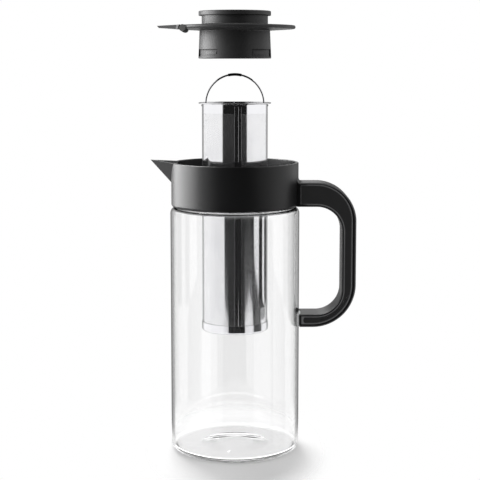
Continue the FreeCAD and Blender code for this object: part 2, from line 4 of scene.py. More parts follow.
import bpy
import numpy as np
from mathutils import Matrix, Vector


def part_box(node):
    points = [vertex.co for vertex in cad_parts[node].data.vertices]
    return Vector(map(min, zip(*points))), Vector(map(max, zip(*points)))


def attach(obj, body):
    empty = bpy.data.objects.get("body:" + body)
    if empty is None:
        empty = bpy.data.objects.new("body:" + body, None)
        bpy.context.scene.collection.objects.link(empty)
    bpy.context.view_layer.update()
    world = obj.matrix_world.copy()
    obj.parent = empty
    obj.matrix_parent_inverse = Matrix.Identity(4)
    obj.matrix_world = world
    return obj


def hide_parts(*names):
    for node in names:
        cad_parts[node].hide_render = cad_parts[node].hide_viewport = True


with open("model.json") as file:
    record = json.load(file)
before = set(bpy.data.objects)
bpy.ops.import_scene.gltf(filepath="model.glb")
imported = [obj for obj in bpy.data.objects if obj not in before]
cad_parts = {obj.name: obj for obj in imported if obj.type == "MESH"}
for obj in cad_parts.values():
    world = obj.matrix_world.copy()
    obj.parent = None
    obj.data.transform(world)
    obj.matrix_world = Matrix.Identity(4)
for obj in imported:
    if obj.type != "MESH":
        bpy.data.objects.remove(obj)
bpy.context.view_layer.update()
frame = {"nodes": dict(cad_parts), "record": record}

# Cold brew coffee maker, dressed for the camera: blown glass, satin black mouldings, a handle with
# let-in panels, and a rolled filter of etched steel on a wire bail. Lengths are in metres, in the
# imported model's frame: +Z up, +X towards the handle, the spout towards -X.

MM = 0.001
nodes = frame["nodes"]


# ------------------------------------------------------------------ meshes from arrays
def make_piece(name, points, faces, material, slot, body, stands_for=(), uv=None, painted_highlight=None):
    """A smooth object from an (n, 3) array of points and lists of faces. It rides on a body, and takes
    the place of the nodes it stands for. uv is given for every face corner, and the last argument, how
    bright a painted highlight along an edge is, for every point."""
    mesh = bpy.data.meshes.new(name)
    mesh.from_pydata(np.asarray(points, float).tolist(), [], faces)
    mesh.polygons.foreach_set("use_smooth", np.ones(len(mesh.polygons), bool))
    if uv is not None:
        layer = mesh.uv_layers.new(name="UVMap")
        layer.data.foreach_set("uv", np.asarray(uv, np.float32).ravel())
    if painted_highlight is not None:
        highlight_level = mesh.attributes.new("painted_highlight", "FLOAT", "POINT")
        highlight_level.data.foreach_set("value", np.asarray(painted_highlight, np.float32))
    mesh.materials.append(material)
    mesh.update()
    piece = bpy.data.objects.new(name, mesh)
    bpy.context.scene.collection.objects.link(piece)
    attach(piece, body)
    if stands_for:
        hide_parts(*stands_for)


def grid_faces(rows, columns, wrap_rows=False, wrap_columns=False, first=0):
    """Quads of a rows x columns grid of points numbered row by row, as an (n, 4) array. A wrapped
    direction joins its last line to its first."""
    i = np.arange(rows if wrap_rows else rows - 1)[:, None]
    j = np.arange(columns if wrap_columns else columns - 1)[None, :]
    i_next = (i + 1) % rows
    j_next = (j + 1) % columns
    corners = [i * columns + j, i * columns + j_next, i_next * columns + j_next, i_next * columns + j]
    return np.stack([np.broadcast_to(c, (i.size, j.size)).ravel() for c in corners], 1) + first


def arc(centre, radius, start, stop, steps):
    """Points of a circle's arc: centre + radius (cos a, sin a), with a evenly spaced in degrees."""
    a = np.radians(np.linspace(start, stop, steps + 1))
    return np.stack([centre[0] + radius * np.cos(a), centre[1] + radius * np.sin(a)], 1)


def rounded(corners, steps=8, hold=0.25):
    """Open profile through corners (x, z, radius). A corner with a radius becomes a tangent arc of
    steps parts, with one more point on each side at hold times the radius, which keeps the shading
    of the flat parts flat."""
    profile = []
    for i, corner in enumerate(corners):
        here = np.array(corner[:2], float)
        radius = corner[2] if len(corner) > 2 else 0.0
        if radius <= 0:
            profile.append(here[None])
            continue
        back = np.array(corners[i - 1][:2], float) - here
        ahead = np.array(corners[i + 1][:2], float) - here
        back_length = np.hypot(*back)
        ahead_length = np.hypot(*ahead)
        back /= back_length
        ahead /= ahead_length
        half = math.acos(np.clip(back @ ahead, -1, 1)) / 2
        run = radius / math.tan(half)
        middle = (back + ahead) / np.hypot(*(back + ahead))
        centre = here + middle * radius / math.sin(half)
        first = here + back * run - centre
        last = here + ahead * run - centre
        start = math.atan2(first[1], first[0])
        turn = (math.atan2(last[1], last[0]) - start + math.pi) % (2 * math.pi) - math.pi
        a = start + turn * np.linspace(0, 1, steps + 1)
        bend = centre + radius * np.stack([np.cos(a), np.sin(a)], 1)
        before = here + back * min(run * (1 + hold), (run + back_length) / 2)
        after = here + ahead * min(run * (1 + hold), (run + ahead_length) / 2)
        profile += [before[None], bend, after[None]]
    return np.concatenate(profile)


def lathe(profile, around=256):
    """Surface of revolution of an open profile whose two ends lie on the axis: the point at angle a
    is (r cos a, r sin a, z), and each end is one shared point. Returns points and faces."""
    a = np.linspace(0, 2 * np.pi, around, endpoint=False)
    r, z = profile[1:-1, 0, None], profile[1:-1, 1, None]
    rings = np.stack([r * np.cos(a), r * np.sin(a), z + 0 * a], -1)
    count = len(rings)
    points = np.concatenate([rings.reshape(-1, 3), [[0, 0, profile[0, 1]], [0, 0, profile[-1, 1]]]])
    faces = grid_faces(count, around, wrap_columns=True).tolist()
    j = np.arange(around)
    last_row = (count - 1) * around
    start_pole = np.full(around, count * around)
    faces += np.stack([start_pole, (j + 1) % around, j], 1).tolist()
    faces += np.stack([start_pole + 1, last_row + j, last_row + (j + 1) % around], 1).tolist()
    return points, faces


def turned_ring(profile, around=256, start=0.0):
    """Surface of revolution of a closed profile of (radius, height) that goes up its outside and down
    its inside. Returns points, faces and the UV of every face corner, in metres round and up."""
    a = start + np.linspace(0, 2 * np.pi, around, endpoint=False)
    r, z = profile[:, 0, None], profile[:, 1, None]
    points = np.stack([r * np.cos(a), r * np.sin(a), z + 0 * a], -1).reshape(-1, 3)
    faces = grid_faces(len(profile), around, wrap_rows=True, wrap_columns=True)
    columns = faces % around
    closing = columns.max(1, keepdims=True) - columns.min(1, keepdims=True) > 1
    columns = np.where(closing & (columns == 0), around, columns)
    width = 2 * np.pi * profile[:, 0].max()
    uv = np.stack([columns * width / around, profile[faces // around, 1]], -1)
    return points, faces.tolist(), uv.reshape(-1, 2)


def closed_sweep(rings, upper, lower, outward=True):
    """Surface through rings, an array of stations x points round x 3. Both ends are closed by strips
    between the points upper[k] and lower[k] of the ring, two lists that run side by side."""
    stations, count, _ = rings.shape
    faces = grid_faces(stations, count, wrap_columns=True)
    strip = np.stack([upper[:-1], upper[1:], lower[1:], lower[:-1]], 1)
    keep = [list(dict.fromkeys(quad)) for quad in strip.tolist()]
    far = (stations - 1) * count
    ends = [quad[::-1] for quad in keep if len(quad) > 2]
    ends += [[corner + far for corner in quad] for quad in keep if len(quad) > 2]
    faces = faces.tolist() + ends
    if not outward:
        faces = [face[::-1] for face in faces]
    return rings.reshape(-1, 3), faces


# ------------------------------------------------------------------ material groups
def new_group(name, inputs, outputs):
    """An empty shader node group with named sockets: (name, type, default) in, (name, type) out."""
    group = bpy.data.node_groups.new(name, "ShaderNodeTree")
    for label, kind, value in inputs:
        socket = group.interface.new_socket(label, in_out="INPUT", socket_type="NodeSocket" + kind)
        socket.default_value = value
    for label, kind in outputs:
        group.interface.new_socket(label, in_out="OUTPUT", socket_type="NodeSocket" + kind)
    return group, group.nodes.new("NodeGroupInput"), group.nodes.new("NodeGroupOutput")


def add(tree, kind, settings=None, **inputs):
    """A node of a kind, with its settings. Its inputs are values or sockets, given by name, or by number
    as i0, i1 and so on."""
    node = tree.nodes.new(kind)
    for key, value in (settings or {}).items():
        setattr(node, key, value)
    for key, value in inputs.items():
        socket = node.inputs[int(key[1:]) if key[1:].isdigit() else key.replace("_", " ")]
        if isinstance(value, bpy.types.NodeSocket):
            tree.links.new(value, socket)
        else:
            socket.default_value = value
    return node


def maths(tree, operation, a, b=0.0, c=0.0):
    """Output of a Math node."""
    return add(tree, "ShaderNodeMath", {"operation": operation}, i0=a, i1=b, i2=c).outputs[0]


def vector_maths(tree, operation, a, b):
    """Vector output of a Vector Math node."""
    return add(tree, "ShaderNodeVectorMath", {"operation": operation}, i0=a, i1=b).outputs[0]


def length(tree, vector):
    """Length of a vector."""
    return add(tree, "ShaderNodeVectorMath", {"operation": "LENGTH"}, i0=vector).outputs["Value"]


def mix_value(tree, factor, a, b):
    """a where the factor is 0, b where it is 1."""
    return add(tree, "ShaderNodeMix", {"data_type": "FLOAT"}, i0=factor, i2=a, i3=b).outputs[0]


def mix_colour(tree, factor, a, b, blend="MIX"):
    """Colour mix of a and b, each a socket or an RGBA value."""
    settings = {"data_type": "RGBA", "blend_type": blend}
    return add(tree, "ShaderNodeMix", settings, i0=factor, i6=a, i7=b).outputs[2]


def smooth_step(tree, value, start, stop, low=0.0, high=1.0):
    """low up to start, high from stop on, and a smooth rise between."""
    return add(tree, "ShaderNodeMapRange", {"interpolation_type": "SMOOTHSTEP"}, Value=value,
               From_Min=start, From_Max=stop, To_Min=low, To_Max=high).outputs[0]


def within(tree, value, low, high, soft):
    """1 where the value lies between low and high, each a value or a socket, 0 outside."""
    above = smooth_step(tree, maths(tree, "SUBTRACT", value, low), -soft, soft)
    below = smooth_step(tree, maths(tree, "SUBTRACT", high, value), -soft, soft)
    return maths(tree, "MULTIPLY", above, below)


def between(tree, value, low, high):
    """1 where the value lies between low and high, 0 outside, with hard edges."""
    return maths(tree, "MULTIPLY", maths(tree, "GREATER_THAN", value, low),
                 maths(tree, "LESS_THAN", value, high))


def in_glass(tree):
    """1 for a ray that comes from a mirror or through glass, 0 for any other."""
    path = add(tree, "ShaderNodeLightPath").outputs
    return maths(tree, "MAXIMUM", path["Is Glossy Ray"], path["Is Transmission Ray"])


def noise(tree, vector, scale, detail=2.0, roughness=0.5):
    """Value output of a Noise Texture at a number of cells per metre."""
    return add(tree, "ShaderNodeTexNoise", Vector=vector, Scale=scale, Detail=detail,
               Roughness=roughness).outputs[0]


def moulded_group():
    """Spark-textured moulding: fine even grain in height, clouded roughness, and a slight change of
    tone. Outputs Color, Roughness and Height."""
    group, source, sink = new_group(
        "moulded skin",
        [("Color", "Color", (0.02, 0.02, 0.02, 1)), ("Roughness", "Float", 0.4),
         ("Grain per metre", "Float", 5000.0), ("Clouding", "Float", 0.05)],
        [("Color", "Color"), ("Roughness", "Float"), ("Height", "Float")])
    place = add(group, "ShaderNodeTexCoord").outputs["Object"]
    cloud = noise(group, place, scale=38.0, detail=3.0)
    grain = noise(group, place, scale=source.outputs["Grain per metre"], detail=1.0)
    shift = maths(group, "MULTIPLY_ADD", cloud, 2.0, -1.0)
    shift = maths(group, "MULTIPLY", shift, source.outputs["Clouding"])
    speckle = maths(group, "MULTIPLY_ADD", grain, 0.12, -0.06)
    rough = maths(group, "ADD", source.outputs["Roughness"], shift)
    group.links.new(maths(group, "ADD", rough, speckle), sink.inputs["Roughness"])
    lighter = mix_colour(group, 0.1, source.outputs["Color"], (0.09, 0.09, 0.095, 1))
    tone = maths(group, "MULTIPLY_ADD", cloud, 0.5, -0.15)
    group.links.new(mix_colour(group, tone, source.outputs["Color"], lighter), sink.inputs["Color"])
    group.links.new(grain, sink.inputs["Height"])
    return group


def drawn_steel_group():
    """Rolled and polished sheet: long faint draw lines along the axis, in roughness and height, and a
    slight change of tone. Outputs Color, Roughness and Height."""
    group, source, sink = new_group(
        "drawn steel",
        [("Color", "Color", (0.6, 0.6, 0.61, 1)), ("Roughness", "Float", 0.15),
         ("Lines", "Float", 0.06)],
        [("Color", "Color"), ("Roughness", "Float"), ("Height", "Float")])
    place = add(group, "ShaderNodeTexCoord").outputs["Object"]
    drawn = vector_maths(group, "MULTIPLY", place, (1.0, 1.0, 0.02))
    lines = noise(group, drawn, scale=2600.0, detail=3.0, roughness=0.6)
    cloud = noise(group, place, scale=60.0)
    shift = maths(group, "MULTIPLY_ADD", lines, 2.0, -1.0)
    shift = maths(group, "MULTIPLY", shift, source.outputs["Lines"])
    cloudy = maths(group, "MULTIPLY_ADD", cloud, 0.06, -0.03)
    rough = maths(group, "ADD", source.outputs["Roughness"], shift)
    group.links.new(maths(group, "ADD", rough, cloudy), sink.inputs["Roughness"])
    darker = mix_colour(group, 1.0, source.outputs["Color"], (0.86, 0.86, 0.88, 1), "MULTIPLY")
    group.links.new(mix_colour(group, cloud, source.outputs["Color"], darker), sink.inputs["Color"])
    group.links.new(lines, sink.inputs["Height"])
    return group


def etched_group():
    """Etched holes in staggered rows: UV is in metres round and up the sheet. A hole's mask is
    1 inside its radius, from the distance to the nearest centre of a square grid and of the same
    grid moved by half a pitch. Outputs Mask, 1 in a hole, and Height, 1 on the sheet."""
    group, source, sink = new_group(
        "etched holes",
        [("Pitch", "Float", 0.0005), ("Radius", "Float", 0.00013)],
        [("Mask", "Float"), ("Height", "Float")])
    place = add(group, "ShaderNodeUVMap").outputs[0]
    across = add(group, "ShaderNodeVectorMath", {"operation": "SCALE"}, i0=place)
    group.links.new(maths(group, "DIVIDE", 1.0, source.outputs["Pitch"]), across.inputs["Scale"])
    nearest = []
    for offset in (0.0, 0.5):
        moved = vector_maths(group, "ADD", across.outputs[0], (offset, offset, 0.0))
        cell = add(group, "ShaderNodeVectorMath", {"operation": "FRACTION"}, i0=moved).outputs[0]
        centred = vector_maths(group, "SUBTRACT", cell, (0.5, 0.5, 0.0))
        nearest.append(length(group, vector_maths(group, "MULTIPLY", centred, (1.0, 1.0, 0.0))))
    distance = maths(group, "MULTIPLY", maths(group, "MINIMUM", *nearest), source.outputs["Pitch"])
    inside = maths(group, "DIVIDE", distance, source.outputs["Radius"])
    edge = smooth_step(group, inside, 0.8, 1.2, 1.0, 0.0)
    group.links.new(edge, sink.inputs["Mask"])
    group.links.new(maths(group, "SUBTRACT", 1.0, edge), sink.inputs["Height"])
    return group


moulded = moulded_group()
drawn_steel = drawn_steel_group()
etched = etched_group()
FINE_GRAIN = 3000.0  # cells of the mouldings' grain per metre
# Painted highlight: tone and roughness of the light lines painted along the mouldings' edges.
PAINTED_HIGHLIGHT_TONE = (0.21, 0.21, 0.215, 1)
PAINTED_HIGHLIGHT_ROUGHNESS = 0.26
# Painted shade for the lid: tone and roughness mixed in round the flap's hinge and in the skirt's tracks.
PAINTED_SHADE_TONE = (0.004, 0.004, 0.004, 1)
PAINTED_SHADE_ROUGHNESS = 0.85
TRACK_RADII = (25.2 * MM, 26.25 * MM)  # between the skirt's bore and its face
TRACK_LOW = 1.3 * MM  # heights of the tracks and of their upper edge with deeper painted shade, above the skirt's end
TRACK_SHADE = 5.9 * MM
TRACK_TOP = 6.8 * MM
LID_MOULDINGS = ("lid_body", "lid_cap", "spout_flap")


def new_material(name, **settings):
    """A material with a Principled BSDF whose plain sockets are set by name."""
    material = bpy.data.materials.new(name)
    material.use_nodes = True
    tree = material.node_tree
    shader = tree.nodes["Principled BSDF"]
    for key, value in settings.items():
        shader.inputs[key.replace("_", " ")].default_value = value
    return material, tree, shader


def use_bump(tree, shader, height, depth):
    """A Bump node of a real depth in metres between a height and the shader's Normal."""
    bump = add(tree, "ShaderNodeBump", Height=height, Strength=1.0, Distance=depth)
    tree.links.new(bump.outputs[0], shader.inputs["Normal"])


def moulded_plastic(name, colour, roughness, depth, grain=FINE_GRAIN, clouding=0.05, **settings):
    """Black moulded plastic with the shared moulded skin, and a painted highlight, lighter and smoother,
    along the edges that a point attribute marks.
    Returns the material, its tree and its shader."""
    material, tree, shader = new_material(name, **settings)
    skin = add(tree, "ShaderNodeGroup", {"node_tree": moulded}, Color=colour, Roughness=roughness,
               Grain_per_metre=grain, Clouding=clouding)
    # Painted highlight: a point attribute mixes a lighter, smoother tone in along edges.
    painted_highlight = add(tree, "ShaderNodeAttribute", {"attribute_name": "painted_highlight"}).outputs["Fac"]
    tree.links.new(mix_colour(tree, painted_highlight, skin.outputs["Color"], PAINTED_HIGHLIGHT_TONE), shader.inputs["Base Color"])
    tree.links.new(mix_value(tree, painted_highlight, skin.outputs["Roughness"], PAINTED_HIGHLIGHT_ROUGHNESS),
                   shader.inputs["Roughness"])
    use_bump(tree, shader, skin.outputs["Height"], depth)
    return material, tree, shader


def lid_plastic(name):
    """The moulding of the lid, with a base colour lighter than the other black mouldings' as painted
    light for the brighter light on the lid. It has painted shade, duller and darker, round the flap's
    hinge and in the tracks of its skirt, most of all along their upper edge. The tracks lie less far
    from the axis than the skirt's face."""
    # The base colour here is lighter than the other black mouldings': painted light for the lid's brighter
    # light.
    material, tree, shader = moulded_plastic(name, (0.025, 0.025, 0.0255, 1), roughness=0.46,
                                             depth=0.012 * MM, Specular_IOR_Level=0.3)
    low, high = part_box("flap_hinge_pin")
    place = add(tree, "ShaderNodeTexCoord").outputs["Object"]
    from_pin = vector_maths(tree, "SUBTRACT", place, ((low.x + high.x) / 2, 0, (low.z + high.z) / 2))
    distance = length(tree, vector_maths(tree, "MULTIPLY", from_pin, (1, 0, 1)))
    painted_hinge_shade = smooth_step(tree, distance, 2.8 * MM, 4.2 * MM, 1.0, 0.0)
    x, y, z = add(tree, "ShaderNodeSeparateXYZ", Vector=place).outputs
    radius = length(tree, add(tree, "ShaderNodeCombineXYZ", X=x, Y=y).outputs[0])
    skirt_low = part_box("lid_body")[0].z
    painted_track_shade = maths(tree, "MULTIPLY", between(tree, radius, *TRACK_RADII),
                     between(tree, z, skirt_low + TRACK_LOW, skirt_low + TRACK_TOP))
    upper = maths(tree, "GREATER_THAN", z, skirt_low + TRACK_SHADE)
    painted_track_shade = maths(tree, "MULTIPLY", painted_track_shade, maths(tree, "MULTIPLY_ADD", upper, 0.55, 0.2))
    # Painted shade: the stronger of the hinge's and the tracks' painted shade.
    painted_shade = maths(tree, "MAXIMUM", painted_hinge_shade, painted_track_shade)
    colour, rough = (shader.inputs[socket].links[0].from_socket for socket in ("Base Color", "Roughness"))
    tree.links.new(mix_colour(tree, painted_shade, colour, PAINTED_SHADE_TONE), shader.inputs["Base Color"])
    tree.links.new(mix_value(tree, painted_shade, rough, PAINTED_SHADE_ROUGHNESS), shader.inputs["Roughness"])
    return material


def steel(name, colour, roughness, lines, depth):
    """Stainless sheet or wire with the shared draw lines."""
    material, tree, shader = new_material(name, Metallic=1.0)
    skin = add(tree, "ShaderNodeGroup", {"node_tree": drawn_steel}, Color=colour, Roughness=roughness,
               Lines=lines)
    tree.links.new(skin.outputs["Color"], shader.inputs["Base Color"])
    tree.links.new(skin.outputs["Roughness"], shader.inputs["Roughness"])
    use_bump(tree, shader, skin.outputs["Height"], depth)
    return material


def etched_steel(name):
    """The filter's sheet: drawn steel between etched holes, whose dull grey walls show inside."""
    material, tree, shader = new_material(name)
    skin = add(tree, "ShaderNodeGroup", {"node_tree": drawn_steel}, Color=(0.88, 0.88, 0.885, 1),
               Roughness=0.06, Lines=0.03)
    holes = add(tree, "ShaderNodeGroup", {"node_tree": etched}, Pitch=0.7 * MM, Radius=0.125 * MM)
    mask = holes.outputs["Mask"]
    tree.links.new(mix_colour(tree, mask, skin.outputs["Color"], (0.2, 0.2, 0.205, 1)),
                   shader.inputs["Base Color"])
    tree.links.new(mix_value(tree, mask, 1.0, 0.0), shader.inputs["Metallic"])
    tree.links.new(mix_value(tree, mask, skin.outputs["Roughness"], 0.7), shader.inputs["Roughness"])
    use_bump(tree, shader, holes.outputs["Height"], 0.003 * MM)
    return material


def clear_glass(name):
    """Borosilicate glass: bends what is behind it, and lets the lamps' light through to what it holds. Its
    tint deepens where it is seen edge-on, but not down at the base or above the shoulder."""
    material, tree, shader = new_material(
        name, Base_Color=(0.975, 0.985, 0.985, 1), Roughness=0.0, IOR=1.473, Transmission_Weight=1.0)
    facing = add(tree, "ShaderNodeLayerWeight", Blend=0.5).outputs["Facing"]
    haze = smooth_step(tree, facing, 0.15, 0.6, 0.0, 0.15)
    rim = maths(tree, "MAXIMUM", smooth_step(tree, facing, 0.6, 0.9), haze)
    place = add(tree, "ShaderNodeTexCoord").outputs["Object"]
    height = add(tree, "ShaderNodeSeparateXYZ", Vector=place).outputs[2]
    for start, stop, low, high in ((0.006, 0.03, 0.0, 1.0), (0.179, 0.1815, 1.0, 0.0)):
        fade = add(tree, "ShaderNodeMapRange", Value=height, From_Min=start, From_Max=stop, To_Min=low,
                   To_Max=high)
        rim = maths(tree, "MULTIPLY", rim, fade.outputs[0])
    tree.links.new(mix_colour(tree, rim, (0.965, 0.965, 0.966, 1), (0.3, 0.3, 0.302, 1)),
                   shader.inputs["Base Color"])
    path = add(tree, "ShaderNodeLightPath")
    open_way = add(tree, "ShaderNodeBsdfTransparent", Color=(0.7, 0.7, 0.7, 1))
    lamps = maths(tree, "MAXIMUM", path.outputs["Is Shadow Ray"], path.outputs["Is Diffuse Ray"])
    mixed = add(tree, "ShaderNodeMixShader", i0=lamps, i1=shader.outputs[0], i2=open_way.outputs[0])
    tree.links.new(mixed.outputs[0], tree.nodes["Material Output"].inputs["Surface"])
    return material


def silicone(name):
    """Translucent silicone with a dull skin. Seen in mirrors and through glass it has a painted glow,
    which stands in for the light that the glass leads to it under the collar."""
    material, tree, shader = new_material(name, Transmission_Weight=0.25, IOR=1.41)
    skin = add(tree, "ShaderNodeGroup", {"node_tree": moulded}, Color=(0.72, 0.74, 0.75, 1),
               Roughness=0.45, Grain_per_metre=FINE_GRAIN, Clouding=0.08)
    tree.links.new(skin.outputs["Color"], shader.inputs["Base Color"])
    tree.links.new(skin.outputs["Roughness"], shader.inputs["Roughness"])
    use_bump(tree, shader, skin.outputs["Height"], 0.01 * MM)
    # Painted glow: white emission for rays from mirrors and through glass.
    shader.inputs["Emission Color"].default_value = (1, 1, 1, 1)
    tree.links.new(maths(tree, "MULTIPLY", in_glass(tree), 0.35), shader.inputs["Emission Strength"])
    return material


finish = {
    "clear_glass": clear_glass("clear borosilicate glass"),
    "black_plastic": moulded_plastic("satin black moulding", (0.008, 0.008, 0.0085, 1), roughness=0.38,
                                     depth=0.012 * MM, Specular_IOR_Level=0.27)[0],
    "inlay_plastic": moulded_plastic("semi-gloss black panel", (0.034, 0.034, 0.0345, 1), roughness=0.22,
                                     depth=0.004 * MM, grain=2500.0, clouding=0.03,
                                     Specular_IOR_Level=0.4)[0],
    "silicone": silicone("clear silicone"),
    "mesh_steel": etched_steel("etched filter sheet"),
    "polished_steel": steel("polished stainless steel", (0.78, 0.78, 0.79, 1), roughness=0.08, lines=0.04,
                            depth=0.002 * MM),
    "dark_steel": steel("blackened steel sleeve", (0.06, 0.06, 0.062, 1), roughness=0.35, lines=0.08,
                        depth=0.004 * MM),
}
lid_finish = lid_plastic("matt black lid moulding")
for part in frame["record"]["subparts"]:
    for place in nodes[part["node"]].material_slots:
        is_lid = part["node"] in LID_MOULDINGS
        place.material = lid_finish if is_lid else finish[part["material_slot"]]


# ------------------------------------------------------------------ glass body
def carafe_profile():
    """Outline of the glass from the axis under the base, up the outside, over the lip and down the
    inside to the axis again, as the radius and height of each corner and its rounding. The base is
    pushed up a little in the middle, as blown glass is."""
    outside, _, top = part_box("glass_carafe")[1]
    wall = 2.0 * MM
    base = 3.6 * MM
    shoulder = top - 14.3 * MM
    neck = outside - 5.5 * MM
    lip = neck + 1.1 * MM
    lip_low = top - 2.3 * MM
    corners = [
        (0, 1.2 * MM),
        (14.0 * MM, 0.9 * MM, 5.0 * MM),
        (25.5 * MM, 0, 0.8 * MM),
        (outside, 0, 6.0 * MM),
        (outside, shoulder, 4.7 * MM),
        (neck, shoulder, 1.5 * MM),
        (neck, lip_low, 0.2 * MM),
        (lip, lip_low, 0.35 * MM),
        (lip, top, 1.05 * MM),
        (neck - wall, top, 0.65 * MM),
        (neck - wall, shoulder - wall, 3.5 * MM),
        (outside - wall, shoulder - wall, 2.7 * MM),
        (outside - wall, base, 2.0 * MM),
        (0, base),
    ]
    return rounded(corners, steps=14)


make_piece("carafe_body", *lathe(carafe_profile(), around=320), finish["clear_glass"], "clear_glass", "jug",
           ["glass_carafe"])


# ------------------------------------------------------------------ handle
collar_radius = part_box("collar_shell")[1].y
foot_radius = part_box("handle_foot_pad")[1].x
handle_flare = 3.0 * MM
handle_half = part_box("handle_body")[1].y
handle_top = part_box("handle_body")[1].z - handle_flare
handle_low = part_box("handle_body")[0].z
handle_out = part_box("handle_body")[1].x
grip_depth = 10.6 * MM
top_arm = 17.9 * MM
low_arm = 9.7 * MM
outer_radius_top = 29.0 * MM
outer_radius_low = 32.0 * MM
gap_radius = 18.5 * MM
handle_edge = 1.5 * MM
gap_edge = 0.9 * MM
foot_edge = 0.4 * MM
panel_border = np.array([1.9, 3.4, 2.9]) * MM
panel_gap_border = 1.9 * MM
panel_root = collar_radius + 1.1 * MM
panel_foot = foot_radius + 1.3 * MM
panel_corner = 2.2 * MM
panel_depth = 0.8 * MM
panel_thickness = 0.5 * MM
lip = 0.35 * MM
far_arm = np.array([54.5, 57.5]) * MM  # last stations of the top arm and first ones of the low arm
far_low = np.array([56.3, 54.8]) * MM


def root_x(y):
    """Where the handle meets the collar's wall."""
    return np.sqrt((collar_radius + 0.05 * MM) ** 2 - y ** 2)


def foot_x(y):
    """Where the handle's lower arm ends, parallel to the glass."""
    return np.sqrt(foot_radius ** 2 - y ** 2)


def handle_line(border, arm_x, low_x):
    """One long line of the handle from the collar round to the foot, as points (x, z). It runs at
    three borders (top, outer, low) inside the outer outline, or at one border inside the outline of
    the finger gap. arm_x and low_x place its stations on the two straight arms."""
    if np.size(border) == 3:
        top, outer, low = border
        high_z, low_z, side_x = handle_top - top, handle_low + low, handle_out - outer
        high_radius = outer_radius_top - (top + outer) / 2
        low_radius = outer_radius_low - (low + outer) / 2
    else:
        high_z, low_z = handle_top - top_arm + border, handle_low + low_arm - border
        side_x = handle_out - grip_depth + border
        high_radius = low_radius = gap_radius + border
    upper = arc((side_x - high_radius, high_z - high_radius), high_radius, 90, 0, 28)
    lower = arc((side_x - low_radius, low_z + low_radius), low_radius, 0, -90, 28)
    between = np.linspace(0, 1, 10)[1:-1, None]
    return np.concatenate([
        np.stack([arm_x, np.full(len(arm_x), high_z)], 1),
        upper,
        upper[-1] + between * (lower[0] - upper[-1]),
        lower,
        np.stack([low_x, np.full(len(low_x), low_z)], 1),
    ])


def corner_run(inside):
    """How far the recess's rounded foot corner holds a line back that lies inside its border."""
    inside = np.clip(inside, 0, panel_corner)
    return panel_corner - np.sqrt(panel_corner ** 2 - (panel_corner - inside) ** 2)


